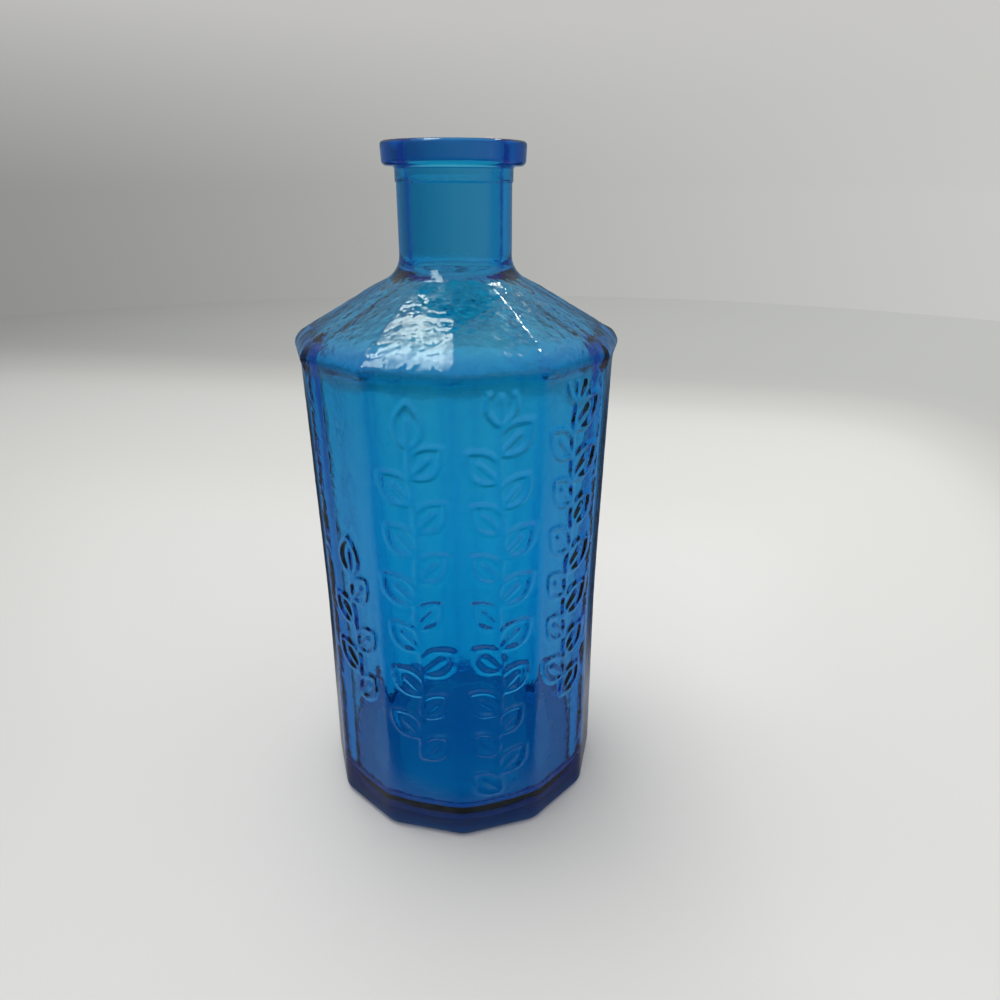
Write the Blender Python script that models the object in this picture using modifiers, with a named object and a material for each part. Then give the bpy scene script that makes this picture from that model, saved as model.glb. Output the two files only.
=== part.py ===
# Twelve-sided bitters bottle of blown glass, with a separate ring of glass laid on its neck as the lip.
#
# Lengths are in metres and +Z is up. The origin is the centre of the foot, on the surface that
# the bottle stands on, and one upright edge of the body faces -Y.

import math
from collections import namedtuple

import bmesh
import bpy
from mathutils import Vector

MM = 0.001

# Overall
OVERALL_HEIGHT = 205.4 * MM

# Body, outside. A width is the distance across two opposite flat sides.
SIDES = 12
FOOT_WIDTH = 90.2 * MM
WAIST_WIDTH = 87.8 * MM
WAIST_HEIGHT = 66.0 * MM
BODY_TOP_WIDTH = 92.1 * MM
BODY_TOP = 147.4 * MM
RIM_WIDTH = 94.8 * MM
RIM_BOTTOM = 150.2 * MM
RIM_TOP = 152.9 * MM
SHOULDER_SLOPE = math.radians(30.8)
SHOULDER_KNEE_WIDTH = 87.0 * MM
SHOULDER_KNEE_RISE = 1.1 * MM
BODY_EDGE_ROUNDING = 10.0 * MM
RIM_EDGE_ROUNDING = 3.0 * MM
SHOULDER_EDGE_ROUNDING = 3.0 * MM
HEEL_ROUNDING = 2.2 * MM
WAIST_ROUNDING = 900.0 * MM
STEP_ROUNDING = 3.0 * MM
RIM_ROUNDING = 2.2 * MM
SHOULDER_KNEE_ROUNDING = 20.0 * MM

# Foot
FOOT_HOLLOW_RADIUS = 33.0 * MM
FOOT_HOLLOW_DEPTH = 5.0 * MM
FOOT_EDGE_ROUNDING = 1.0 * MM

# Neck
NECK_RADIUS = 16.3 * MM
BORE_RADIUS = 13.0 * MM
NECK_FILLET = 7.5 * MM

# Glass thickness
SIDE_WALL = 3.0 * MM
SHOULDER_WALL = 3.2 * MM
BASE_THICKNESS = 9.0 * MM

# Body, inside
INSIDE_EDGE_ROUNDING = 18.0 * MM
INSIDE_HEEL_ROUNDING = 12.0 * MM
INSIDE_SHOULDER_ROUNDING = 9.0 * MM
INSIDE_FLOOR_RISE = 3.0 * MM

# Lip
LIP_RADIUS = 20.35 * MM
LIP_THICKNESS = 6.3 * MM
LIP_TAPER = 0.3 * MM
LIP_TOP_ROUNDING = 1.0 * MM
LIP_BOTTOM_ROUNDING = 1.5 * MM
LIP_UNDERCUT_FILLET = 0.8 * MM
MOUTH_ROUNDING = 1.2 * MM
COLLAR_HEIGHT = 4.3 * MM
COLLAR_STEP = 0.3 * MM
COLLAR_EDGE_ROUNDING = 0.4 * MM

# Joint of the lip and the neck: the top of the neck is a thin sleeve inside the collar.
SLEEVE_WALL = 1.7 * MM
SLEEVE_HEIGHT = 5.0 * MM
SLEEVE_EDGE_ROUNDING = 0.4 * MM
JOINT_GAP = 0.3 * MM

# Fineness of the faceted surfaces
POINTS_PER_EDGE = 4
ARC_STEP_ANGLE = math.radians(22.5)
FEWEST_ARC_STEPS = 2
SMALL_ROUNDING = 1.5 * MM
DOME_RINGS = 5
LIP_STEPS = SIDES * POINTS_PER_EDGE
WIDEST_EDGE_SHARE = 0.75
MOST_OF_A_SIDE = 0.45

# Heights that follow from the sizes above
COLLAR_BOTTOM = OVERALL_HEIGHT - LIP_THICKNESS - COLLAR_HEIGHT
LEDGE_HEIGHT = COLLAR_BOTTOM - JOINT_GAP
SLEEVE_TOP = LEDGE_HEIGHT + SLEEVE_HEIGHT
SLEEVE_RADIUS = BORE_RADIUS + SLEEVE_WALL
SOCKET_RADIUS = SLEEVE_RADIUS + JOINT_GAP
SOCKET_TOP = SLEEVE_TOP + JOINT_GAP
COLLAR_RADIUS = NECK_RADIUS + COLLAR_STEP

# One corner of an upright outline: its distance from the axis to a flat side, its height, the
# radius that rounds it off, and the radius of the body's upright edges at that height.
Corner = namedtuple("Corner", "out up rounding edge")
ROUND = 1.0  # an edge radius over any width here, which makes the section a circle


def shoulder_height(out):
    """Height of the shoulder's outside, at a distance from the axis to a flat side."""
    return RIM_TOP + (RIM_WIDTH / 2 - out) * math.tan(SHOULDER_SLOPE)


def inside_shoulder_height(out):
    """Height of the shoulder's inside, which lies one wall below its outside."""
    return shoulder_height(out) - SHOULDER_WALL / math.cos(SHOULDER_SLOPE)


def half_width_below_waist(height):
    """Half the width of the body, outside, at a height between the foot and the waist."""
    share = height / WAIST_HEIGHT
    return (FOOT_WIDTH + (WAIST_WIDTH - FOOT_WIDTH) * share) / 2


def dome(radius, base, rise, edge):
    """Rings of a shallow spherical dome, from its foot towards its top, which is left out."""
    ball = (radius**2 + rise**2) / (2 * rise)
    rings = []
    for index in range(DOME_RINGS):
        out = radius * (1 - index / DOME_RINGS)
        up = base + math.sqrt(ball**2 - out**2) - (ball - rise)
        rings.append(Corner(out, up, 0.0, edge))
    return rings


def outside_corners():
    """Outline of the body's outside, from the hollow under the foot to the top of the neck's sleeve."""
    hollow = dome(FOOT_HOLLOW_RADIUS, 0.0, FOOT_HOLLOW_DEPTH, ROUND)
    foot_ring_inside = hollow.pop(0)._replace(rounding=FOOT_EDGE_ROUNDING)
    knee_out = SHOULDER_KNEE_WIDTH / 2
    knee_up = shoulder_height(knee_out) + SHOULDER_KNEE_RISE
    return [
        *reversed(hollow),
        foot_ring_inside,
        Corner(FOOT_WIDTH / 2, 0.0, HEEL_ROUNDING, BODY_EDGE_ROUNDING),
        Corner(WAIST_WIDTH / 2, WAIST_HEIGHT, WAIST_ROUNDING, BODY_EDGE_ROUNDING),
        Corner(BODY_TOP_WIDTH / 2, BODY_TOP, STEP_ROUNDING, BODY_EDGE_ROUNDING),
        Corner(RIM_WIDTH / 2, RIM_BOTTOM, STEP_ROUNDING, RIM_EDGE_ROUNDING),
        Corner(RIM_WIDTH / 2, RIM_TOP, RIM_ROUNDING, RIM_EDGE_ROUNDING),
        Corner(knee_out, knee_up, SHOULDER_KNEE_ROUNDING, SHOULDER_EDGE_ROUNDING),
        Corner(NECK_RADIUS, shoulder_height(NECK_RADIUS), NECK_FILLET, ROUND),
        Corner(NECK_RADIUS, LEDGE_HEIGHT, 0.0, ROUND),
        Corner(SLEEVE_RADIUS, LEDGE_HEIGHT, 0.0, ROUND),
        Corner(SLEEVE_RADIUS, SLEEVE_TOP, SLEEVE_EDGE_ROUNDING, ROUND),
    ]


def inside_corners():
    """Outline of the body's inside, from the top of the sleeve down to the middle of the floor."""
    neck_fillet = NECK_FILLET + SHOULDER_WALL
    knee_out = SHOULDER_KNEE_WIDTH / 2
    knee_up = inside_shoulder_height(knee_out) + SHOULDER_KNEE_RISE
    shoulder_out = BODY_TOP_WIDTH / 2 - SIDE_WALL
    waist_out = WAIST_WIDTH / 2 - SIDE_WALL
    floor_out = half_width_below_waist(BASE_THICKNESS) - SIDE_WALL
    floor_radius = floor_out - INSIDE_HEEL_ROUNDING
    return [
        Corner(BORE_RADIUS, SLEEVE_TOP, SLEEVE_EDGE_ROUNDING, ROUND),
        Corner(BORE_RADIUS, inside_shoulder_height(BORE_RADIUS), neck_fillet, ROUND),
        Corner(knee_out, knee_up, SHOULDER_KNEE_ROUNDING, INSIDE_EDGE_ROUNDING),
        Corner(
            shoulder_out,
            inside_shoulder_height(shoulder_out),
            INSIDE_SHOULDER_ROUNDING,
            INSIDE_EDGE_ROUNDING,
        ),
        Corner(waist_out, WAIST_HEIGHT, WAIST_ROUNDING, INSIDE_EDGE_ROUNDING),
        Corner(floor_out, BASE_THICKNESS, INSIDE_HEEL_ROUNDING, INSIDE_EDGE_ROUNDING),
        *dome(floor_radius, BASE_THICKNESS, INSIDE_FLOOR_RISE, ROUND),
    ]


def rounded(corners):
    """The outline with an arc, in a few straight steps, at each corner that has a rounding."""
    rings = [corners[0]]
    for before, here, after in zip(corners, corners[1:], corners[2:]):
        if here.rounding == 0.0:
            rings.append(here)
            continue
        point = Vector((here.out, here.up))
        back = Vector((before.out, before.up)) - point
        ahead = Vector((after.out, after.up)) - point
        half_angle = back.angle(ahead) / 2
        reach = here.rounding / math.tan(half_angle)
        reach = min(reach, MOST_OF_A_SIDE * back.length, MOST_OF_A_SIDE * ahead.length)
        radius = reach * math.tan(half_angle)
        middle = (back.normalized() + ahead.normalized()).normalized()
        centre = point + middle * radius / math.sin(half_angle)
        start = point + back.normalized() * reach - centre
        end = point + ahead.normalized() * reach - centre
        sweep = start.angle(end)
        steps = FEWEST_ARC_STEPS
        if radius > SMALL_ROUNDING:
            steps = max(steps, round(sweep / ARC_STEP_ANGLE))
        for step in range(steps + 1):
            turn = sweep * step / steps
            arm = (start * math.sin(sweep - turn) + end * math.sin(turn)) / math.sin(sweep)
            rings.append(here._replace(out=centre.x + arm.x, up=centre.y + arm.y))
    rings.append(corners[-1])
    return rings


def section(ring):
    """Points round one level section: a polygon of SIDES sides with rounded edges, or a circle."""
    half_side = math.pi / SIDES
    edge = min(ring.edge, ring.out)
    edge_centre = (ring.out - edge) / math.cos(half_side)
    reach = math.atan2(edge * math.sin(half_side), edge_centre + edge * math.cos(half_side))
    reach = min(reach, half_side * WIDEST_EDGE_SHARE)
    points = []
    for side in range(SIDES):
        edge_direction = 2 * half_side * side - math.pi / 2
        for index in range(POINTS_PER_EDGE):
            turn = reach * (2 * index / (POINTS_PER_EDGE - 1) - 1)
            across = edge_centre * math.sin(turn)
            radius = edge_centre * math.cos(turn) + math.sqrt(edge**2 - across**2)
            angle = edge_direction + turn
            points.append(Vector((radius * math.cos(angle), radius * math.sin(angle), ring.up)))
    return points


def lofted_mesh(name, rings, bottom, top):
    """A closed mesh through the rings in order, ending in a point on the axis at each end."""
    shape = bmesh.new()
    loops = [[shape.verts.new(point) for point in section(ring)] for ring in rings]
    first = shape.verts.new((0.0, 0.0, bottom))
    last = shape.verts.new((0.0, 0.0, top))
    count = len(loops[0])
    for index in range(count):
        following = (index + 1) % count
        shape.faces.new((first, loops[0][following], loops[0][index]))
        for lower, upper in zip(loops, loops[1:]):
            shape.faces.new((lower[index], lower[following], upper[following], upper[index]))
        shape.faces.new((loops[-1][index], loops[-1][following], last))
    return finished_mesh(name, shape)


def outline_mesh(name, rings):
    """A closed loop of edges at +X, for a Screw modifier to turn round the axis."""
    shape = bmesh.new()
    points = [shape.verts.new((ring.out, 0.0, ring.up)) for ring in rings]
    for index, point in enumerate(points):
        shape.edges.new((point, points[(index + 1) % len(points)]))
    return finished_mesh(name, shape)


def finished_mesh(name, shape):
    """The mesh of a bmesh, which is freed."""
    mesh = bpy.data.meshes.new(name)
    shape.to_mesh(mesh)
    shape.free()
    return mesh


def glass_material(name, colour, roughness):
    """Clear coloured glass."""
    material = bpy.data.materials.new(name)
    material.use_nodes = True
    shader = material.node_tree.nodes["Principled BSDF"]
    shader.inputs["Base Color"].default_value = (*colour, 1.0)
    shader.inputs["Roughness"].default_value = roughness
    shader.inputs["Metallic"].default_value = 0.0
    shader.inputs["IOR"].default_value = 1.5
    shader.inputs["Transmission Weight"].default_value = 1.0
    material.diffuse_color = (*colour, 1.0)
    return material


def body_glass():
    return glass_material("body glass", (0.011, 0.230, 0.510), 0.04)


def lip_glass():
    return glass_material("lip glass", (0.006, 0.130, 0.370), 0.03)


def add_object(name, mesh, material, collection, parent):
    made = bpy.data.objects.new(name, mesh)
    made.parent = parent
    mesh.materials.append(material)
    collection.objects.link(made)
    return made


def add_bottle_body(collection, parent):
    """Foot, body, shoulder and neck, which are one piece of glass, hollow and open at the top."""
    rings = rounded(outside_corners() + inside_corners())
    floor_top = BASE_THICKNESS + INSIDE_FLOOR_RISE
    mesh = lofted_mesh("bottle body", rings, FOOT_HOLLOW_DEPTH, floor_top)
    mesh.shade_smooth()
    mesh.set_sharp_from_angle(angle=math.radians(20.0))
    return add_object("bottle_body", mesh, body_glass(), collection, parent)


def lip_corners():
    """Outline of the lip's ring: down its outer side, and up round the neck's sleeve."""
    flange_bottom = OVERALL_HEIGHT - LIP_THICKNESS
    return [
        Corner(BORE_RADIUS, OVERALL_HEIGHT, MOUTH_ROUNDING, ROUND),
        Corner(LIP_RADIUS, OVERALL_HEIGHT, LIP_TOP_ROUNDING, ROUND),
        Corner(LIP_RADIUS - LIP_TAPER, flange_bottom, LIP_BOTTOM_ROUNDING, ROUND),
        Corner(COLLAR_RADIUS, flange_bottom, LIP_UNDERCUT_FILLET, ROUND),
        Corner(COLLAR_RADIUS, COLLAR_BOTTOM, COLLAR_EDGE_ROUNDING, ROUND),
        Corner(SOCKET_RADIUS, COLLAR_BOTTOM, 0.0, ROUND),
        Corner(SOCKET_RADIUS, SOCKET_TOP, 0.0, ROUND),
        Corner(BORE_RADIUS, SOCKET_TOP, 0.0, ROUND),
    ]


def add_applied_lip(collection, parent):
    """The flange and collar round the mouth, turned as one ring."""
    corners = lip_corners()
    # The first and last corners are repeated so that the loop's own start is rounded too.
    rings = rounded([corners[-1], *corners, corners[0]])[1:-1]
    made = add_object(
        "applied_lip", outline_mesh("applied lip", rings), lip_glass(), collection, parent
    )
    turn = made.modifiers.new("turn round the axis", "SCREW")
    turn.axis = "Z"
    turn.angle = 2 * math.pi
    turn.steps = LIP_STEPS
    turn.render_steps = LIP_STEPS
    turn.use_merge_vertices = True
    turn.merge_threshold = 0.00001
    turn.use_smooth_shade = True
    return made


def clear_scene():
    for left_over in list(bpy.data.objects):
        bpy.data.objects.remove(left_over, do_unlink=True)


def main():
    clear_scene()
    collection = bpy.data.collections.new("Bitters bottle")
    bpy.context.scene.collection.children.link(collection)
    foot_centre = bpy.data.objects.new("bottle foot centre", None)
    collection.objects.link(foot_centre)
    add_bottle_body(collection, foot_centre)
    add_applied_lip(collection, foot_centre)


main()
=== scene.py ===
import math
from collections import namedtuple

import bmesh
import bpy
from mathutils import Matrix, Vector


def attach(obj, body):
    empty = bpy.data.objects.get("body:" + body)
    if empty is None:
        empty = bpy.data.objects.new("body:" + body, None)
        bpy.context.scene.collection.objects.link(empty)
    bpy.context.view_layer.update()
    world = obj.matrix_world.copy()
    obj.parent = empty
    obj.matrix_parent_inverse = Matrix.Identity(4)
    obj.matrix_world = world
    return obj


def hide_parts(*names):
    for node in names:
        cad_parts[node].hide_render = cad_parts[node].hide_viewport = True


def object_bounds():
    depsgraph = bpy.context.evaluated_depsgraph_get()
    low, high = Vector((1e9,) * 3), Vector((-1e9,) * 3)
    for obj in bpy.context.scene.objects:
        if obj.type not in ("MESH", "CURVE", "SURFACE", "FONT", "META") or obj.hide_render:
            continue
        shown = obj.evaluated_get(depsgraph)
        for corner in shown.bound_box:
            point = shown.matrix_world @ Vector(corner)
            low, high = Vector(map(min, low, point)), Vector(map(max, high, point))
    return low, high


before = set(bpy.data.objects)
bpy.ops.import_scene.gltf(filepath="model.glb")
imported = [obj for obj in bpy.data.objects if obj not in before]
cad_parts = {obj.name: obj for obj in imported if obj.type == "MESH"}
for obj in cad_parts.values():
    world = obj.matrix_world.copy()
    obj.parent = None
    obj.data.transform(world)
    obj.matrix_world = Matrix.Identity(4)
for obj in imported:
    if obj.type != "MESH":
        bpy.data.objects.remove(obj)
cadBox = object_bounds()
mm = 0.001


class Wire:
    # A socket that carries a value, so that sums in a node tree are written as sums.
    def __init__(self, graph, socket):
        self.graph = graph
        self.socket = socket

    def __getitem__(self, name):  # another output of the same node
        return Wire(self.graph, openSocket(self.socket.node.outputs, name))

    def maths(self, operation, *values):
        return self.graph.node("ShaderNodeMath", {"operation": operation}, dict(enumerate(values)))

    def __add__(self, other):
        return self.maths("ADD", self, other)

    def __radd__(self, other):
        return self.maths("ADD", other, self)

    def __sub__(self, other):
        return self.maths("SUBTRACT", self, other)

    def __rsub__(self, other):
        return self.maths("SUBTRACT", other, self)

    def __mul__(self, other):
        return self.maths("MULTIPLY", self, other)

    def __rmul__(self, other):
        return self.maths("MULTIPLY", other, self)

    def __truediv__(self, other):
        return self.maths("DIVIDE", self, other)

    def __rtruediv__(self, other):
        return self.maths("DIVIDE", other, self)


class Graph:
    # A node tree under construction.
    def __init__(self, tree):
        self.tree = tree
        tree.nodes.clear()

    def node(self, kind, settings=None, sockets=None):
        made = self.tree.nodes.new(kind)
        for name, value in (settings or {}).items():
            if name == "stops":
                setStops(made.color_ramp, value)
            else:
                setattr(made, name, value)
        for name, value in (sockets or {}).items():
            socket = openSocket(made.inputs, name)
            for single in value if isinstance(value, list) else [value]:
                if isinstance(single, Wire):
                    self.tree.links.new(single.socket, socket)
                else:
                    socket.default_value = single
        first = next((socket for socket in made.outputs if socket.enabled), None)
        return Wire(self, first)


def openSocket(sockets, name):
    if isinstance(name, int):
        return sockets[name]
    return next(socket for socket in sockets if socket.name == name and socket.enabled)


def setStops(ramp, stops):
    while len(ramp.elements) < len(stops):
        ramp.elements.new(1.0)
    for element, (place, colour) in zip(ramp.elements, stops):
        element.position = place
        element.color = (*colour, 1.0)


def geometryTree(name, inputs):
    # A Geometry Nodes tree with a geometry input, the named inputs and a geometry output.
    tree = bpy.data.node_groups.new(name, "GeometryNodeTree")
    graph = Graph(tree)
    tree.interface.new_socket(name="Geometry", in_out="INPUT", socket_type="NodeSocketGeometry")
    for label, (kind, value) in inputs.items():
        socket = tree.interface.new_socket(name=label, in_out="INPUT", socket_type="NodeSocket" + kind)
        if value is not None:
            socket.default_value = value
    tree.interface.new_socket(name="Geometry", in_out="OUTPUT", socket_type="NodeSocketGeometry")
    return graph, graph.node("NodeGroupInput")


def grownBy(holder, graph, values=None):
    # The mesh that the tree makes of the holder's own, as a plain mesh.
    modifier = holder.modifiers.new(graph.tree.name, "NODES")
    modifier.node_group = graph.tree
    for socket in graph.tree.interface.items_tree:
        if socket.in_out == "INPUT" and socket.name in (values or {}):
            modifier[socket.identifier] = values[socket.name]
    dependencies = bpy.context.evaluated_depsgraph_get()
    mesh = bpy.data.meshes.new_from_object(holder.evaluated_get(dependencies))
    holder.modifiers.remove(modifier)
    return mesh


def newObject(name, mesh):
    made = bpy.data.objects.new(name, mesh)
    bpy.context.scene.collection.objects.link(made)
    return made


# Sizes of the glass, close to those of the CAD solids. A width is taken across two opposite flat sides,
# and a rounding is the radius of a corner of the outline.
bottleSizes = {
    "sides": 12,
    "height": 205.4,
    "footWidth": 90.2,
    "waistWidth": 88.9,
    "waistHeight": 66.0,
    "bodyTopWidth": 92.1,
    "flareFrom": 146.6,  # where the body begins to flare out to the rim
    "rimWidth": 94.8,
    "rimSwell": 0.15,  # how far the rim's corner stands out beyond that, before it is rounded
    "rimUp": 151.0,
    "rimTop": 152.9,  # where the shoulder would meet the rim
    "shoulderSlope": math.radians(30.8),
    "kneeWidth": 91.0,
    "facetsEnd": 24.5,  # where the shoulder's flat sides begin to round off towards the neck
    "neckRadius": 16.3,
    "boreRadius": 13.0,
    "neckFillet": 7.5,
    "collarHeight": 4.3,
    "collarStep": 0.3,
    "lipRadius": 20.35,
    "lipThickness": 6.3,
    "lipTaper": 0.3,
    "mouthFlare": 1.5,
    "footRingRounding": 1.0,
    "heelRounding": 2.2,
    "waistRounding": 900.0,
    "flareRounding": 14.0,
    "rimRounding": 3.3,
    "kneeRounding": 5.0,
    "collarRounding": 0.4,
    "collarUndercut": 0.3,
    "lipUndercut": 0.8,
    "lipBottomRounding": 1.5,
    "lipTopRounding": 1.0,
    "mouthRounding": 1.2,
    "boreRounding": 20.0,
    "topWall": 2.8,
    "waistWall": 3.8,
    "heelWall": 4.0,
    "shoulderWall": 2.2,
    "baseThickness": 7.2,
    "floorRise": 4.8,
    "hollowRadius": 33.0,
    "hollowDepth": 4.5,
    "bodyEdge": 8.0,  # rounding of the upright edges
    "rimEdge": 3.0,
    "shoulderEdge": 2.0,
    "insideEdge": 26.0,
    "roundEdge": 5.0,  # the same where the shoulder's flat sides have become round
    "insideFillet": 3.5,
    "insideShoulder": 9.0,
    "insideHeel": 12.0,
}

# How far the surface waves in and out, from cooling, and how deep its small dimples are.
waveSizes = {
    "foot": (0.02, 0.0),
    "body": (0.08, 0.05),
    "rim": (0.08, 0.03),
    "shoulder": (0.10, 0.14),
    "neck": (0.05, 0.0),
    "lip": (0.04, 0.0),
    "insideNeck": (0.10, 0.0),
    "inside": (0.20, 0.02),
}

# How far apart the mesh's points are, in millimetres, and the heights and widths where that changes.
meshSizes = {
    "panelStep": 0.63,  # across and up on a side that carries a sprig
    "plainStep": 2.2,  # across a side that is plain
    "shoulderStep": 1.1,
    "shoulderAcross": 1.6,
    "neckStep": 1.8,
    "insideStep": 2.0,
    "hollowStep": 6.0,
    "coarseUnder": (1.0, 4.0),  # how far past the hollow's edge, and how high, that step is used
    "roundUnder": (2.0, 6.0),  # and how far and high under the foot the rows are round
    "panelRows": (4.0, 146.4),  # heights between which a row has the columns that a sprig needs
    "closeRowsUpTo": 147.4,
    "neckFoot": 5.0,  # how far out from the neck the neck's own steps begin
    "edgeColumns": (1.0, 0.955, 0.908),  # columns on an upright edge's rounding, as shares of half a side
    "fewestAcross": 4,
    "fewestArcSteps": 3,
    "mostOfRun": 0.45,  # how much of the straight run beside it a rounding may take
    "rowSlack": 0.2,  # how much longer than its step a gap between rows may be, in steps
    "roundColumns": 96,
    "arcStep": math.radians(14),
    "domeRings": 6,
}

# The sides that carry a sprig, counted from the edge at -Y towards +X, and the heights it spans.
sprigSides = {0: (16, 137), 1: (44, 140), 10: (46, 88), 11: (30, 131)}

# An outline point: distance to a flat side, height, rounding radius in the outline, rounding of the
# upright edges, 0 to 1 from twelve-sided to round, and how deep the surface's waves and dimples are.
Corner = namedtuple("Corner", "out up rounding edge roundness wave dimple")


def shoulderHeight(out):
    s = bottleSizes
    return s["rimTop"] + (s["rimWidth"] / 2 - out) * math.tan(s["shoulderSlope"])


def insideShoulderHeight(out):
    s = bottleSizes
    return shoulderHeight(out) - s["shoulderWall"] / math.cos(s["shoulderSlope"])


def dome(radius, base, rise, waves):
    ball = (radius**2 + rise**2) / (2 * rise)
    rings = []
    for index in range(meshSizes["domeRings"]):
        out = radius * (1 - index / meshSizes["domeRings"])
        up = base + math.sqrt(ball**2 - out**2) - (ball - rise)
        rings.append(Corner(out, up, 0, 1, 1, *waves))
    return rings


def outsideOutline():
    # From the middle of the hollow under the foot, up the outside, to the top of the lip.
    s, w = bottleSizes, waveSizes
    hollow = dome(s["hollowRadius"], 0, s["hollowDepth"], w["foot"])
    footRing = hollow.pop(0)._replace(rounding=s["footRingRounding"])
    knee = s["kneeWidth"] / 2
    kneeUp = shoulderHeight(knee)
    neck = s["neckRadius"]
    neckUp = shoulderHeight(neck)
    facetsUp = neckUp + (kneeUp - neckUp) * (s["facetsEnd"] - neck) / (knee - neck)
    collar = neck + s["collarStep"]
    flange = s["height"] - s["lipThickness"]
    collarUp = flange - s["collarHeight"]
    body = (s["bodyEdge"], 0)
    shoulder = (s["shoulderEdge"], 0, *w["shoulder"])
    turned = (s["roundEdge"], 1)
    lip = (*turned, *w["lip"])
    rim = s["rimWidth"] / 2 + s["rimSwell"]
    return [
        *reversed(hollow),
        footRing,
        Corner(s["footWidth"] / 2, 0, s["heelRounding"], *body, *w["foot"]),
        Corner(s["waistWidth"] / 2, s["waistHeight"], s["waistRounding"], *body, *w["body"]),
        Corner(s["bodyTopWidth"] / 2, s["flareFrom"], s["flareRounding"], *body, *w["body"]),
        Corner(rim, s["rimUp"], s["rimRounding"], s["rimEdge"], 0, *w["rim"]),
        Corner(knee, kneeUp, s["kneeRounding"], *shoulder),
        Corner(s["facetsEnd"], facetsUp, 0, *shoulder),
        Corner(neck, neckUp, s["neckFillet"], *turned, *w["neck"]),
        Corner(neck, collarUp, s["collarUndercut"], *turned, *w["neck"]),
        Corner(collar, collarUp + s["collarRounding"], s["collarRounding"], *lip),
        Corner(collar, flange, s["lipUndercut"], *lip),
        Corner(s["lipRadius"] - s["lipTaper"], flange, s["lipBottomRounding"], *lip),
        Corner(s["lipRadius"], s["height"], s["lipTopRounding"], *lip),
    ]


def insideOutline():
    # From the top of the bore down the inside to the middle of the floor.
    s, w = bottleSizes, waveSizes
    bore = s["boreRadius"]
    top = s["bodyTopWidth"] / 2 - s["topWall"]
    waist = s["waistWidth"] / 2 - s["waistWall"]
    share = s["baseThickness"] / s["waistHeight"]
    heel = (s["footWidth"] * (1 - share) + s["waistWidth"] * share) / 2 - s["heelWall"]
    collarUp = s["height"] - s["lipThickness"] - s["collarHeight"]
    turned = (s["roundEdge"], 1)
    wall = (s["insideEdge"], 0, *w["inside"])
    return [
        Corner(bore + s["mouthFlare"], s["height"], s["mouthRounding"], *turned, *w["lip"]),
        Corner(bore, collarUp, s["boreRounding"], *turned, *w["lip"]),
        Corner(bore, insideShoulderHeight(bore), s["insideFillet"], *turned, *w["insideNeck"]),
        Corner(top, insideShoulderHeight(top), s["insideShoulder"], *wall),
        Corner(waist, s["waistHeight"], s["waistRounding"], *wall),
        Corner(heel, s["baseThickness"], s["insideHeel"], *wall),
        *dome(heel - s["insideHeel"], s["baseThickness"], s["floorRise"], w["inside"]),
    ]


def rounded(corners):
    # The outline with an arc at each corner that has a rounding.
    points = [corners[0]]
    for before, here, after in zip(corners, corners[1:], corners[2:]):
        if not here.rounding:
            points.append(here)
            continue
        point = Vector((here.out, here.up))
        back = Vector((before.out, before.up)) - point
        ahead = Vector((after.out, after.up)) - point
        half = back.angle(ahead) / 2
        most = meshSizes["mostOfRun"] * min(back.length, ahead.length)
        reach = min(here.rounding / math.tan(half), most)
        radius = reach * math.tan(half)
        centre = point + (back.normalized() + ahead.normalized()).normalized() * radius / math.sin(half)
        start = point + back.normalized() * reach - centre
        end = point + ahead.normalized() * reach - centre
        sweep = start.angle(end)
        steps = max(meshSizes["fewestArcSteps"], math.ceil(sweep / meshSizes["arcStep"]))
        for step in range(steps + 1):
            turn = sweep * step / steps
            arm = (start * math.sin(sweep - turn) + end * math.sin(turn)) / math.sin(sweep)
            points.append(here._replace(out=centre.x + arm.x, up=centre.y + arm.y))
    points.append(corners[-1])
    return points


def carriesSprigs(row):
    low, high = meshSizes["panelRows"]
    return low < row.up < high


def spaced(points, stepAt):
    # The outline with rows put in wherever two of its points lie far apart.
    rows = [points[0]]
    for low, high in zip(points, points[1:]):
        middle = Corner(*[(a + b) / 2 for a, b in zip(low, high)])
        gap = math.hypot(high.out - low.out, high.up - low.up)
        steps = max(1, math.ceil(gap / stepAt(middle) - meshSizes["rowSlack"]))
        for step in range(1, steps + 1):
            share = step / steps
            rows.append(Corner(*[a + (b - a) * share for a, b in zip(low, high)]))
    return rows


def underFoot(row, reach):
    past, up = reach
    return row.out < bottleSizes["hollowRadius"] + past and row.up < up


def outsideStep(row):
    m = meshSizes
    if underFoot(row, m["coarseUnder"]):
        return m["hollowStep"]
    if row.up < m["closeRowsUpTo"]:
        return m["panelStep"]
    onShoulder = row.out > bottleSizes["neckRadius"] + m["neckFoot"]
    return m["shoulderStep"] if onShoulder else m["neckStep"]


def sideTurns(step):
    # Where the columns stand across one side, as angles from its middle: the rounded edge on its
    # left, then evenly over the flat, then the rounded edge on its right.
    out = bottleSizes["waistWidth"] / 2
    half = math.pi / bottleSizes["sides"]
    flat = (out - bottleSizes["bodyEdge"]) * math.tan(half)
    count = max(meshSizes["fewestAcross"], round(2 * flat / step))
    across = [flat * (2 * index / count - 1) for index in range(count + 1)]
    edge = [half * share for share in meshSizes["edgeColumns"]]
    return [-turn for turn in edge] + [math.atan(x / out) for x in across] + edge[:0:-1]


def columnsOf(kind):
    # The turn of each column round the axis, from the edge at -Y.
    if kind == "round":
        count = meshSizes["roundColumns"]
        return [2 * math.pi * index / count for index in range(count)]
    side = 2 * math.pi / bottleSizes["sides"]
    steps = {"shoulder": meshSizes["shoulderAcross"], "panels": meshSizes["plainStep"]}
    turns = []
    for index in range(bottleSizes["sides"]):
        fine = kind == "panels" and index in sprigSides
        step = meshSizes["panelStep"] if fine else steps[kind]
        turns += [side * (index + 0.5) + turn for turn in sideTurns(step)]
    return turns


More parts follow.
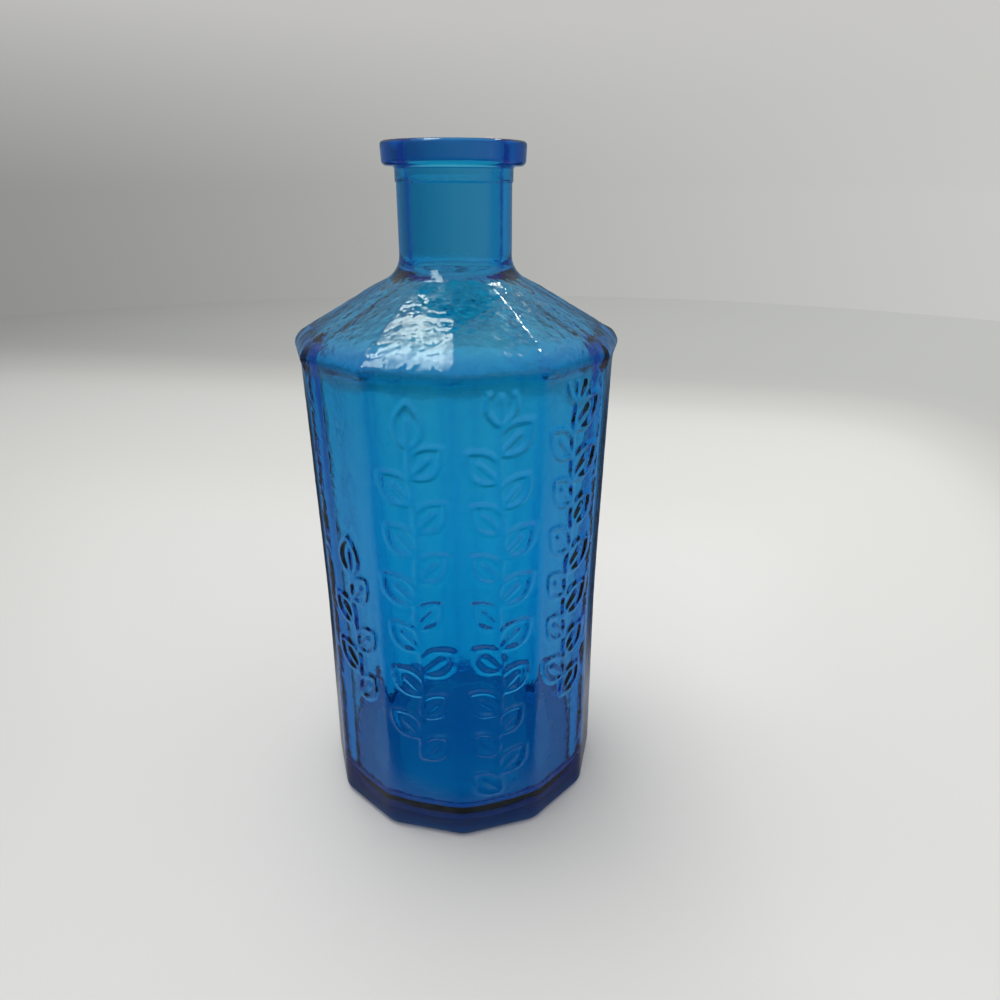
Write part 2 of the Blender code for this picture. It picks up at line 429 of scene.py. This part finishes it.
# The numbers that each point of the net carries. The lengths among them are in metres.
fieldNames = ("out", "up", "edge", "roundness", "wave", "dimple", "turn", "raised")


def shellNet():
    # A closed net of rows and columns. The tree below turns it into the glass.
    outside = spaced(rounded([*outsideOutline(), insideOutline()[0]]), outsideStep)
    inside = rounded([outsideOutline()[-1], *insideOutline()])[1:]
    inside = spaced(inside, lambda row: meshSizes["insideStep"])
    kinds = {kind: columnsOf(kind) for kind in ("round", "shoulder", "panels")}
    rows = []
    for row in outside[:-1]:
        if underFoot(row, meshSizes["roundUnder"]) or row.roundness == 1:
            kind = "round"
        else:
            kind = "panels" if carriesSprigs(row) else "shoulder"
        rows.append((row, kind, 1.0 if kind == "panels" else 0.0))
    rows += [(row, "round", 0.0) for row in inside]

    net = bmesh.new()
    numbers = {name: net.verts.layers.float.new(name) for name in fieldNames}

    def point(row, turn, raised):
        spot = net.verts.new((turn, len(net.verts), 0))
        values = (row.out, row.up, row.edge, row.roundness, row.wave, row.dimple, turn, raised)
        for name, value in zip(fieldNames, values):
            spot[numbers[name]] = value * (1 if name in ("roundness", "turn", "raised") else mm)
        return spot

    rings = [[point(row, turn, raised) for turn in kinds[kind]] for row, kind, raised in rows]
    for (low, (_, lowKind, _)), (high, (_, highKind, _)) in zip(
        zip(rings, rows), zip(rings[1:], rows[1:])
    ):
        stitch(net, low, kinds[lowKind], high, kinds[highKind])
    middle = Corner(0, 0, 0, bottleSizes["roundEdge"], 1, 0, 0)
    floorTop = bottleSizes["baseThickness"] + bottleSizes["floorRise"]
    below = point(middle._replace(up=bottleSizes["hollowDepth"]), 0, 0)
    above = point(middle._replace(up=floorTop), 0, 0)
    for ring, tip, outward in ((rings[0], below, False), (rings[-1], above, True)):
        for first, second in zip(ring, ring[1:] + ring[:1]):
            net.faces.new((tip, first, second) if outward else (tip, second, first))
    mesh = bpy.data.meshes.new("bottle net")
    net.to_mesh(mesh)
    net.free()
    return mesh


def stitch(net, low, lowTurns, high, highTurns):
    # Faces between two rings. Where their columns differ, triangles take up the difference.
    if len(low) == len(high):
        for index in range(len(low)):
            after = (index + 1) % len(low)
            net.faces.new((low[index], low[after], high[after], high[index]))
        return
    lowTurns = [*lowTurns, lowTurns[0] + 2 * math.pi]
    highTurns = [*highTurns, highTurns[0] + 2 * math.pi]
    a = b = 0
    while a < len(low) or b < len(high):
        first, second = low[a % len(low)], high[b % len(high)]
        lowNext = lowTurns[a + 1] if a < len(low) else math.inf
        highNext = highTurns[b + 1] if b < len(high) else math.inf
        if lowNext <= highNext:
            a += 1
            net.faces.new((first, low[a % len(low)], second))
        else:
            b += 1
            net.faces.new((first, high[b % len(high)], second))


# The moulded sprigs, which stand up from the sides. They are laid out flat first, each in its own
# strip, and the glass rises where a strip's lines pass. Lengths are in millimetres.
sprigSizes = {
    "stripPitch": 60,
    "stemStep": 1.0,
    "leafPoints": 10,
    "leafSpacing": 7.4,
    "leafLength": 12.6,
    "leafWidth": 7.8,
    "leafAngle": math.radians(44),
    "leafBelly": 0.42,  # how far up a leaf its sides bow out most, and how far up its vein goes
    "veinLength": 0.62,
    "leans": (0.9, 1.1),  # how much the leaves' angles and sizes differ
    "growths": (0.9, 1.04),
    "sway": 0.7,
    "swayLength": 46,
    "height": 0.55,
    "lineWidth": 1.25,
    "crest": (0.18, 0.82),  # from its middle out, where a line's top and its slope end
    "seed": 7,
}


def sprigStems():
    # One upright edge for each sprig, in its strip.
    stems = bmesh.new()
    for side, (low, high) in sprigSides.items():
        across = side * sprigSizes["stripPitch"] * mm
        stems.edges.new([stems.verts.new((across, 0, height * mm)) for height in (low, high)])
    mesh = bpy.data.meshes.new("sprig stems")
    stems.to_mesh(mesh)
    stems.free()
    return mesh


def sprigTree():
    s = sprigSizes
    graph, given = geometryTree(
        "laurel sprigs",
        {
            "Leaf Spacing": ("Float", s["leafSpacing"] * mm),
            "Leaf Length": ("Float", s["leafLength"] * mm),
            "Leaf Width": ("Float", s["leafWidth"] * mm),
            "Leaf Angle": ("Float", s["leafAngle"]),
            "Sway": ("Float", s["sway"] * mm),
            "Sway Length": ("Float", s["swayLength"] * mm),
            "Seed": ("Int", s["seed"]),
        },
    )
    node = graph.node

    def vector(x=0.0, y=0.0, z=0.0):
        return node("ShaderNodeCombineXYZ", None, {"X": x, "Y": y, "Z": z})

    # The stem sways a little from side to side as it climbs.
    stems = node("GeometryNodeMeshToCurve", None, {"Mesh": given["Geometry"]})
    close = {"Curve": stems, "Length": s["stemStep"] * mm}
    fine = node("GeometryNodeResampleCurve", {"mode": "LENGTH"}, close)
    place = node("GeometryNodeInputPosition")
    height = node("ShaderNodeSeparateXYZ", None, {"Vector": place})["Z"]
    phase = height / given["Sway Length"] * (2 * math.pi)
    swing = phase.maths("SINE", phase) * given["Sway"]
    stem = node("GeometryNodeSetPosition", None, {"Geometry": fine, "Offset": vector(x=swing)})

    # A leaf is two bowed lines that meet in a point, with a short vein.
    length, width = given["Leaf Length"], given["Leaf Width"]
    tip = vector(z=length)
    sides = []
    for hand in (-1, 1):
        belly = vector(x=width * hand, z=length * s["leafBelly"])
        bent = {"Resolution": s["leafPoints"], "Start": vector(), "Middle": belly, "End": tip}
        sides.append(node("GeometryNodeCurveQuadraticBezier", None, bent))
    veinTip = vector(z=length * s["veinLength"])
    vein = node("GeometryNodeCurvePrimitiveLine", None, {"Start": vector(), "End": veinTip})
    leaf = node("GeometryNodeJoinGeometry", None, {"Geometry": [*sides, vein]})

    # Leaves stand on the stem by turns left and right, and the last one points straight on.
    apart = {"Curve": stem, "Length": given["Leaf Spacing"]}
    spots = node("GeometryNodeResampleCurve", {"mode": "LENGTH"}, apart)
    index = node("GeometryNodeInputIndex")
    hand = index.maths("MODULO", index, 2) * 2 - 1
    last = node("GeometryNodeCurveEndpointSelection", None, {"Start Size": 0, "End Size": 1})

    def chance(least, most):
        return node("FunctionNodeRandomValue", None, {"Min": least, "Max": most, "Seed": given["Seed"]})

    lean = chance(*s["leans"])
    size = chance(*s["growths"])
    angle = hand * given["Leaf Angle"] * lean * (1 - last)
    leaves = node(
        "GeometryNodeInstanceOnPoints",
        None,
        {"Points": spots, "Instance": leaf, "Rotation": vector(y=angle), "Scale": vector(size, size, size)},
    )
    both = node("GeometryNodeJoinGeometry", None, {"Geometry": [stem, leaves]})
    real = node("GeometryNodeRealizeInstances", None, {"Geometry": both})
    lines = node("GeometryNodeCurveToMesh", None, {"Curve": real})
    done = node("GeometryNodeSetMaterial", None, {"Geometry": lines})
    node("NodeGroupOutput", None, {"Geometry": done})
    return graph


# The waves of the glass, broad ones from cooling and small dimples from the mould: how far apart,
# in millimetres.
rippleSizes = {
    "broadSize": 7.0,
    "broadDetail": 1.0,
    "dimpleSize": 2.4,
    "dimpleDetail": 0.0,
    "seed": 3.0,
}


def shellTree():
    s = sprigSizes
    graph, given = geometryTree(
        "twelve-sided glass",
        {
            "Sides": ("Int", bottleSizes["sides"]),
            "Sprigs": ("Object", None),
            "Strip Pitch": ("Float", s["stripPitch"] * mm),
            "Sprig Height": ("Float", s["height"] * mm),
            "Line Width": ("Float", s["lineWidth"] * mm),
            "Broad Size": ("Float", rippleSizes["broadSize"] * mm),
            "Dimple Size": ("Float", rippleSizes["dimpleSize"] * mm),
            "Seed": ("Float", rippleSizes["seed"]),
            "Box Low": ("Vector", None),
            "Box High": ("Vector", None),
            "Glass": ("Material", None),
        },
    )
    node = graph.node
    field = {
        name: node("GeometryNodeInputNamedAttribute", {"data_type": "FLOAT"}, {"Name": name})
        for name in fieldNames
    }
    out, up, turn = field["out"], field["up"], field["turn"]

    def function(operation, *values):
        return out.maths(operation, *values)

    # Where the point stands across its side, and how far from the nearest upright edge.
    half = math.pi / given["Sides"]
    side = function("FLOOR", turn / (half * 2))
    offset = turn - (side + 0.5) * half * 2
    fromEdge = half - function("ABSOLUTE", offset)

    # The distance from the axis: flat, round an upright edge, or plainly round.
    rounding = function("MINIMUM", field["edge"], out)
    edgeAxis = (out - rounding) / function("COSINE", half)
    arcReach = function(
        "ARCTAN2",
        rounding * function("SINE", half),
        edgeAxis + rounding * function("COSINE", half),
    )
    sideways = edgeAxis * function("SINE", fromEdge)
    arc = edgeAxis * function("COSINE", fromEdge) + function(
        "SQRT", rounding * rounding - sideways * sideways
    )
    flat = out / function("COSINE", offset)
    onArc = function("LESS_THAN", fromEdge, arcReach)
    radius = node(
        "GeometryNodeSwitch", {"input_type": "FLOAT"}, {"Switch": onArc, "False": flat, "True": arc}
    )
    middling = 1 + (1 - field["roundness"]) * (1 / function("COSINE", half) - 1) / 2
    radius = radius + (out * middling - radius) * field["roundness"]
    heading = turn - math.pi / 2
    wrapped = node(
        "ShaderNodeCombineXYZ",
        None,
        {
            "X": radius * function("COSINE", heading),
            "Y": radius * function("SINE", heading),
            "Z": up,
        },
    )
    shell = node(
        "GeometryNodeSetPosition", None, {"Geometry": given["Geometry"], "Position": wrapped}
    )

    # The sprigs rise where their lines pass.
    layout = node(
        "ShaderNodeCombineXYZ",
        None,
        {"X": side * given["Strip Pitch"] + out * function("TANGENT", offset), "Z": up},
    )
    lines = node(
        "GeometryNodeObjectInfo", {"transform_space": "ORIGINAL"}, {"Object": given["Sprigs"]}
    )["Geometry"]
    near = node(
        "GeometryNodeProximity",
        {"target_element": "EDGES"},
        {"Geometry": lines, "Sample Position": layout},
    )["Distance"]
    width = given["Line Width"]
    top, slope = s["crest"]
    crest = node(
        "ShaderNodeMapRange",
        {"interpolation_type": "SMOOTHSTEP"},
        {"Value": near, "From Min": width * top, "From Max": width * slope, "To Min": 1.0, "To Max": 0.0},
    )
    raised = crest * field["raised"] * given["Sprig Height"]

    # Broad waves and dimples.
    place = node("GeometryNodeInputPosition")
    shift = node("ShaderNodeVectorMath", {"operation": "ADD"}, {0: place, 1: given["Box High"]})

    def waves(size, detail):
        return node(
            "ShaderNodeTexNoise",
            {"noise_dimensions": "4D"},
            {"Vector": shift, "W": given["Seed"], "Scale": 1 / size, "Detail": detail},
        )

    broad = (waves(given["Broad Size"], rippleSizes["broadDetail"]) - 0.5) * field["wave"]
    dimples = (waves(given["Dimple Size"], rippleSizes["dimpleDetail"]) - 0.5) * field["dimple"]
    waving = (broad + dimples) * 2
    normal = node("GeometryNodeInputNormal")
    push = node(
        "ShaderNodeVectorMath", {"operation": "SCALE"}, {"Vector": normal, "Scale": raised + waving}
    )
    worn = node("GeometryNodeSetPosition", None, {"Geometry": shell, "Offset": push})

    # Nothing stands out of the box that the solids fill.
    low = node("ShaderNodeVectorMath", {"operation": "MAXIMUM"}, {0: place, 1: given["Box Low"]})
    inBox = node("ShaderNodeVectorMath", {"operation": "MINIMUM"}, {0: low, 1: given["Box High"]})
    kept = node("GeometryNodeSetPosition", None, {"Geometry": worn, "Position": inBox})
    smooth = node("GeometryNodeSetShadeSmooth", None, {"Geometry": kept})
    real = node("GeometryNodeRealizeInstances", None, {"Geometry": smooth})
    done = node("GeometryNodeSetMaterial", None, {"Geometry": real, "Material": given["Glass"]})
    node("NodeGroupOutput", None, {"Geometry": done})
    return graph


# The glass: what it takes out of the light on its way through, and its fine surface.
glassLook = {
    "absorption": (0.0, 0.81, 0.954),
    "density": 680,
    "ior": 1.5,
    "reflection": (0.80, 0.96, 1.0),
    "roughness": 0.02,
    "footRoughness": 0.45,  # the ring that it stands on is worn
    "footWear": (0.63, 0.9),  # mm up from the table, over which that ends
    "fineSize": 1.7,  # mm
    "fineDetail": 2.0,
    "fineDepth": 0.03,  # mm
    "cloudSize": 3.0,  # mm, of patches that are a little less polished
    "cloudDetail": 1.0,
    "cloudEdge": (0.45, 0.66),
    "cloudRoughness": 0.24,
    "grain": 0.55,  # how strong the finer steps of all three are
    "hammerSize": 2.6,  # mm
    "hammerDetail": 1.0,
    "hammerDepth": 0.22,  # mm
    "hammerFrom": (146.0, 152.0),  # heights over which the shoulder's hammering begins and ends
    "hammerEnd": (168.0, 174.0),
    "bodyHammer": 0.22,
}


def blueGlass():
    look = glassLook
    material = bpy.data.materials.new("blue glass")
    material.use_nodes = True
    node = Graph(material.node_tree).node
    place = node("ShaderNodeTexCoord")["Object"]
    height = node("ShaderNodeSeparateXYZ", None, {"Vector": place})["Z"]

    def between(low, high, first, last):
        reach = {"From Min": low * mm, "From Max": high * mm, "To Min": first, "To Max": last}
        return node("ShaderNodeMapRange", {"interpolation_type": "SMOOTHSTEP"}, {"Value": height, **reach})

    def noise(size, detail):
        sockets = {"Vector": place, "Scale": 1 / (size * mm), "Detail": detail, "Roughness": look["grain"]}
        return node("ShaderNodeTexNoise", None, sockets)

    hammered = between(*look["hammerFrom"], look["bodyHammer"], 1.0)
    hammered = hammered * between(*look["hammerEnd"], 1.0, 0.0)
    depth = noise(look["fineSize"], look["fineDetail"]) * look["fineDepth"]
    depth = depth + noise(look["hammerSize"], look["hammerDetail"]) * hammered * look["hammerDepth"]
    bump = node("ShaderNodeBump", None, {"Height": depth, "Distance": mm})
    low, high = look["cloudEdge"]
    clouds = node(
        "ShaderNodeMapRange",
        {"interpolation_type": "SMOOTHSTEP"},
        {0: noise(look["cloudSize"], look["cloudDetail"]), 1: low, 2: high},
    )
    polish = between(*look["footWear"], look["footRoughness"], look["roughness"])
    polish = polish + clouds * hammered * look["cloudRoughness"]
    surface = node(
        "ShaderNodeBsdfPrincipled",
        None,
        {
            "Base Color": (1, 1, 1, 1),
            "Roughness": polish,
            "IOR": look["ior"],
            "Transmission Weight": 1.0,
            "Specular Tint": (*look["reflection"], 1),
            "Normal": bump,
        },
    )
    inside = node(
        "ShaderNodeVolumeAbsorption",
        None,
        {"Color": (*look["absorption"], 1), "Density": look["density"]},
    )
    node("ShaderNodeOutputMaterial", None, {"Surface": surface, "Volume": inside})
    return material


def glassShell():
    stems = newObject("sprig lines", sprigStems())
    stems.data = grownBy(stems, sprigTree())
    holder = newObject("net", shellNet())
    low, high = cadBox
    mesh = grownBy(
        holder,
        shellTree(),
        {"Sprigs": stems, "Box Low": low, "Box High": high, "Glass": blueGlass()},
    )
    for name in fieldNames:
        mesh.attributes.remove(mesh.attributes[name])
    for helper in (stems, holder):
        bpy.data.objects.remove(helper, do_unlink=True)
    shell = newObject("glass_shell", mesh)
    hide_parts("bottle_body", "applied_lip")
    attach(shell, "root")
    return shell


shell = glassShell()
triangles = sum(len(face.vertices) - 2 for face in shell.data.polygons)
print("glass shell:", len(shell.data.vertices), "points,", triangles, "triangles")

# The room: a pale floor that darkens softly into a grey backdrop and towards both sides, painted shade on
# the floor towards and behind the camera, and painted shade to both sides where the glass shows the room.
# The backdrop is a picture of a wall only: light passes through it.
roomSizes = {
    "radius": 1.25,
    "points": 96,
    "wallHeight": 1.6,
    "floorGap": 0.0003,  # under the foot
    "spread": 0.45,  # how fast the pale part of the floor widens away from the camera
    "sideways": 1.6,
    # painted shade: how fast the floor darkens towards the camera
    "towardsCamera": 1.7,
    "tilt": 0.26,  # how much nearer the pale part ends on the right
    # painted light: how much lighter the room is drawn to the right
    "rightLighter": 0.46,
    "lighterUpTo": (0.18, 0.52),  # heights on the wall over which that ends
    "seenThrough": 0.88,  # painted shade: how bright the room is drawn through the glass
    # painted light: how much the floor glows in its own colour where the glass shows it
    "shownThroughGlass": 0.45,
    "reflectedBeside": 0.45,  # painted shade: how bright the floor is drawn in the glass's outer reflections
    "reflectedBehind": 0.04,
    "darkSpread": 0.95,  # where the painted shade seen through the glass begins, aside for each metre back
    "darkFade": 0.25,
    "besideFrom": (0.45, 0.70),  # share of the way to the side over which the floor counts as beside
    "blueFloor": (0.40, 0.90),  # how far back the floor is painted bluish in those reflections
    "blueWall": (-0.6, -0.2),
    "blueWallUpTo": (0.45, 0.85),  # and how high the wall does
    "roundness": 4.0,  # of the pale part of the floor: 2 is a circle, more is squarer
}
# Distance behind the bottle in metres, and the floor's colour there.
floorColours = [
    (0.00, (0.745, 0.745, 0.730)),
    (0.18, (0.723, 0.723, 0.700)),
    (0.28, (0.675, 0.675, 0.653)),
    (0.40, (0.648, 0.648, 0.628)),
    (0.45, (0.632, 0.632, 0.612)),
    (0.49, (0.600, 0.600, 0.580)),
    (0.53, (0.545, 0.545, 0.526)),
    (0.58, (0.495, 0.497, 0.478)),
    (0.63, (0.448, 0.452, 0.434)),
    (0.69, (0.434, 0.440, 0.423)),
    (1.25, (0.440, 0.446, 0.430)),
]
# Height in metres, and the wall's colour there.
wallColours = [
    (0.00, (0.417, 0.422, 0.408)),
    (0.20, (0.428, 0.432, 0.417)),
    (0.26, (0.450, 0.452, 0.437)),
    (0.33, (0.478, 0.478, 0.463)),
    (0.45, (0.545, 0.540, 0.527)),
    (0.80, (0.565, 0.562, 0.550)),
]
# Distance in front of the axis in metres, and how bright the floor there is drawn in those reflections, as
# painted shade.
reflectedInFront = [
    (0.000, (0.04, 0.04, 0.04)),
    (0.045, (0.70, 0.70, 0.70)),
    (0.055, (0.60, 0.60, 0.60)),
    (0.065, (0.04, 0.04, 0.04)),
    (0.170, (0.04, 0.04, 0.04)),
    (0.420, (0.35, 0.35, 0.35)),
    (0.500, (0.35, 0.35, 0.35)),
]
paintedShadeAside = (0.08, 0.15, 0.32)  # painted shade: the dark colour the glass shows to both sides
paintedFarBackBlue = (0.17, 0.27, 0.38)  # painted reflection: the bluish colour in its outer reflections of what lies far back


def rampOver(node, value, stops):
    # The ramp's stops are given in metres.
    longest = stops[-1][0]
    return node(
        "ShaderNodeValToRGB",
        {"stops": [(place / longest, colour) for place, colour in stops]},
        {"Fac": value / longest},
    )


def seenRays(node):
    # 1 for a ray that comes straight from the camera, through the glass, or off the glass's outside.
    path = node("ShaderNodeLightPath")
    through = path["Is Transmission Ray"]
    return path["Is Camera Ray"], through, path["Is Glossy Ray"] * (1 - through)


def planPlace(node):
    # Distance to the side, to the right and away from the camera's side, and the height.
    place = node("ShaderNodeSeparateXYZ", None, {"Vector": node("ShaderNodeTexCoord")["Object"]})
    right, back, height = place["X"], place["Y"], place["Z"]
    return right.maths("ABSOLUTE", right), right, back, height


def shaded(node, colour, place, reflection=1):
    # The colour, with painted light to the right, painted shade in the glass's outer reflections and
    # through it, and painted shade to the sides as the glass shows it.
    room = roomSizes
    aside, right, back, height = place
    _, through, reflected = seenRays(node)
    low, high = room["lighterUpTo"]
    # painted light to the right, fading out up the wall
    paintedLightShare = node("ShaderNodeMapRange", None, {0: height, 1: low, 2: high, 3: room["rightLighter"], 4: 0.0})
    factor = right * paintedLightShare + 1
    factor = factor * (1 - reflected * (1 - reflection)) * (1 - through * (1 - room["seenThrough"]))
    lit = node("ShaderNodeVectorMath", {"operation": "SCALE"}, {"Vector": colour, "Scale": factor})
    shadeAside = node(
        "ShaderNodeMapRange",
        {"interpolation_type": "SMOOTHSTEP"},
        {
            "Value": aside - back.maths("MAXIMUM", back, 0.0) * room["darkSpread"],
            "From Min": 0.0,
            "From Max": room["darkFade"],
            "To Min": 0.0,
            "To Max": 1.0,
        },
    )
    # painted shade to the sides, only where the glass shows the room
    dark = shadeAside * through
    return node("ShaderNodeMix", {"data_type": "RGBA"}, {"Factor": dark, "A": lit, "B": (*paintedShadeAside, 1)})


def paintedBlueReflection(node, colour, where):
    # The colour, with a painted bluish reflection in the glass's outer reflections as far as "where" says.
    _, _, reflected = seenRays(node)
    sockets = {"Factor": reflected * where, "A": colour, "B": (*paintedFarBackBlue, 1)}
    return node("ShaderNodeMix", {"data_type": "RGBA"}, sockets)


def floorMaterial():
    room = roomSizes
    material = bpy.data.materials.new("pale floor")
    material.use_nodes = True
    node = Graph(material.node_tree).node
    aside, right, back, height = planPlace(node)
    behind = back.maths("MAXIMUM", back, 0.0)
    outside = (aside - behind * room["spread"]) * room["sideways"]
    outside = outside.maths("MAXIMUM", outside, back * -room["towardsCamera"])
    outside = outside.maths("MAXIMUM", outside, 0.0)
    power = room["roundness"]
    away = outside.maths("POWER", outside, power) + behind.maths("POWER", behind, power)
    away = away.maths("POWER", away, 1 / power) + right * room["tilt"]
    low, high = room["besideFrom"]
    # painted shade of the floor in the glass's outer reflections, least beside and just in front of the
    # foot
    beside = node(
        "ShaderNodeMapRange",
        {"interpolation_type": "SMOOTHSTEP"},
        {
            "Value": aside / (aside + back.maths("ABSOLUTE", back)),
            "From Min": low,
            "From Max": high,
            "To Min": room["reflectedBehind"],
            "To Max": room["reflectedBeside"],
        },
    )
    beside = beside.maths("MAXIMUM", beside, rampOver(node, 0 - back, reflectedInFront))
    colour = shaded(node, rampOver(node, away, floorColours), (aside, right, back, height), beside)
    low, high = room["blueFloor"]
    far = node("ShaderNodeMapRange", None, {0: back, 1: low, 2: high, 3: 0.0, 4: 1.0})
    colour = paintedBlueReflection(node, colour, far)
    lit = node("ShaderNodeBsdfDiffuse", None, {"Color": colour})
    # painted light: seen through the glass, the floor partly glows in its own colour
    shown = node("ShaderNodeEmission", None, {"Color": colour})
    _, through, _ = seenRays(node)
    surface = node("ShaderNodeMixShader", None, {0: through * room["shownThroughGlass"], 1: lit, 2: shown})
    node("ShaderNodeOutputMaterial", None, {"Surface": surface})
    return material


def wallMaterial():
    material = bpy.data.materials.new("grey backdrop")
    material.use_nodes = True
    node = Graph(material.node_tree).node
    place = planPlace(node)
    _, _, back, height = place
    near, far = roomSizes["blueWall"]
    low, high = roomSizes["blueWallUpTo"]
    behind = node("ShaderNodeMapRange", None, {0: back, 1: near, 2: far, 3: 0.0, 4: 1.0})
    below = node("ShaderNodeMapRange", None, {0: height, 1: high, 2: low, 3: 0.0, 4: 1.0})
    colour = paintedBlueReflection(node, shaded(node, rampOver(node, height, wallColours), place), behind * below)
    shown = node("ShaderNodeEmission", None, {"Color": colour})
    unseen = node("ShaderNodeBsdfTransparent")
    straight, through, reflected = seenRays(node)
    surface = node("ShaderNodeMixShader", None, {0: straight + through + reflected, 1: unseen, 2: shown})
    node("ShaderNodeOutputMaterial", None, {"Surface": surface})
    return material


def ringOfPoints(shape, height):
    radius, count = roomSizes["radius"], roomSizes["points"]
    turns = [2 * math.pi * index / count for index in range(count)]
    return [shape.verts.new((radius * math.cos(t), radius * math.sin(t), height)) for t in turns]


def buildRoom():
    floor = bmesh.new()
    floor.faces.new(ringOfPoints(floor, -roomSizes["floorGap"]))
    wall = bmesh.new()
    low = ringOfPoints(wall, -roomSizes["floorGap"])
    high = ringOfPoints(wall, roomSizes["wallHeight"])
    for index in range(len(low)):
        wall.faces.new((low[index], high[index], high[index - 1], low[index - 1]))
    for name, shape, material in (
        ("floor", floor, floorMaterial()),
        ("backdrop", wall, wallMaterial()),
    ):
        mesh = bpy.data.meshes.new(name)
        shape.to_mesh(mesh)
        shape.free()
        mesh.materials.append(material)
        newObject(name, mesh)


buildRoom()
print("floor and backdrop")

# Lamps: direction from the shoulder, distance, width and height in metres, turn in their own plane, and
# power in watts. All but the last only glint on the glass, and the last one only lights the floor.
lampTarget = Vector((0, 0, 0.16))
lamps = {
    "facet glint": {
        "towards": (-0.257, 0.194, 0.947),
        "distance": 0.76,
        "size": (0.23, 0.21),
        "turn": math.radians(-9),
        "power": 1.35,
    },
    "ridge glint": {
        "towards": (0.334, 0.499, 0.800),
        "distance": 0.80,
        "size": (0.11, 0.10),
        "turn": 0.0,
        "power": 0.9,
    },
    "rim glint": {
        "towards": (-0.423, -0.280, 0.861),
        "distance": 0.80,
        "size": (0.16, 0.70),
        "turn": math.radians(22),
        "power": 2.6,
    },
    "soft overhead": {
        "towards": (-0.22, 0.22, 1.0),
        "distance": 1.30,
        "size": (0.90, 0.90),
        "turn": 0.0,
        "power": 8.6,
    },
}
glintColour = (1.0, 0.96, 0.84)
worldLight = {"colour": (1.0, 1.0, 1.0), "strength": 0.74}


def buildLight():
    for name, lamp in lamps.items():
        data = bpy.data.lights.new(name, "AREA")
        data.energy = lamp["power"]
        if "glint" in name:
            data.color = glintColour
        data.shape = "RECTANGLE"
        data.size, data.size_y = lamp["size"]
        made = newObject(name, data)
        towards = Vector(lamp["towards"]).normalized()
        made.location = lampTarget + towards * lamp["distance"]
        facing = towards.to_track_quat("Z", "Y").to_matrix() @ Matrix.Rotation(lamp["turn"], 3, "Z")
        made.rotation_euler = facing.to_euler()
        made.visible_diffuse = "glint" not in name
        made.visible_glossy = "glint" in name
        made.visible_transmission = False
        made.visible_camera = False
    world = bpy.data.worlds.new("soft room")
    world.use_nodes = True
    node = Graph(world.node_tree).node
    light = node(
        "ShaderNodeBackground",
        None,
        {"Color": (*worldLight["colour"], 1), "Strength": worldLight["strength"]},
    )
    node("ShaderNodeOutputWorld", None, {"Surface": light})
    bpy.context.scene.world = world


buildLight()
print("lamps and world")

# The camera, from the picture's own perspective.
cameraPlace = {
    "lens": 27.38,  # millimetres, as the sensor's width is
    "sensor": 36,
    "clip": (0.01, 10),
    "height": 0.19444,
    "distance": 0.23139,
    "sideways": 0.01422,
    "pitch": math.radians(90 - 22.571),
    "roll": math.radians(-0.563),
    "bottleTurn": math.radians(1.8),
    "bottleLean": math.radians(0.669),
}


def buildCamera():
    c = cameraPlace
    data = bpy.data.cameras.new("camera")
    data.sensor_width = c["sensor"]
    data.lens = c["lens"]
    data.clip_start, data.clip_end = c["clip"]
    camera = newObject("camera", data)
    camera.matrix_world = (
        Matrix.Rotation(-c["bottleTurn"], 4, "Z")
        @ Matrix.Rotation(-c["bottleLean"], 4, "Y")
        @ Matrix.Translation((c["sideways"], -c["distance"], c["height"]))
        @ Matrix.Rotation(c["pitch"], 4, "X")
        @ Matrix.Rotation(c["roll"], 4, "Z")
    )
    bpy.context.scene.camera = camera


buildCamera()
bpy.context.scene.view_settings.view_transform = "Standard"
